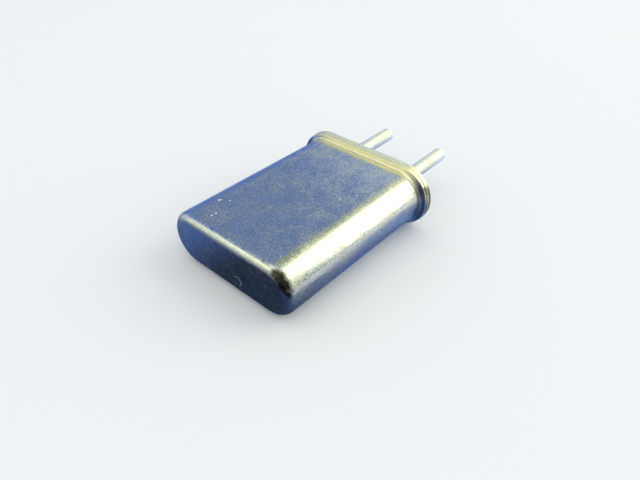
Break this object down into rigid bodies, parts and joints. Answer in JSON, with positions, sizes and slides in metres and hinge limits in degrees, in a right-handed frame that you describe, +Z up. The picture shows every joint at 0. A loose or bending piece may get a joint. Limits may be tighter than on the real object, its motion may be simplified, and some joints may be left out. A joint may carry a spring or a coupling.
{
  "type": "two-pin quartz crystal unit",
  "caption": "Flat drawn metal can with round sides, welded to a base with glass-sealed plug-in pins, holding a clipped quartz disc; lies on one broad side.",
  "frame": {"origin": "middle of the base's outer face, halfway between the two pins", "axes": "+Y out along the pins and away from the can, +X across the can's width, +Z up while the part lies on a broad side"},
  "size_m": [0.011, 0.0196, 0.0046],
  "materials": {
    "can_sheet": "satin nickel silver sheet, deep drawn, finely rubbed",
    "base_steel": "satin nickel plate on stamped steel",
    "seal_glass": "dark fused sealing glass, glossy",
    "pin_plate": "bright nickel plate, slightly dulled",
    "clip_strip": "satin nickel alloy strip",
    "quartz": "finely lapped crystal",
    "silver_film": "evaporated silver, smooth",
    "silver_cement": "silver-filled resin, matte"
  },
  "bodies": {
    "root": {"can": "can_sheet", "base": "base_steel", "glass_left": "seal_glass", "glass_right": "seal_glass", "pin_left": "pin_plate", "pin_right": "pin_plate", "clip_left": "clip_strip", "clip_right": "clip_strip", "quartz_blank": "quartz", "electrode_top": "silver_film", "electrode_bottom": "silver_film", "cement_left": "silver_cement", "cement_right": "silver_cement"}
  },
  "joints": []
}
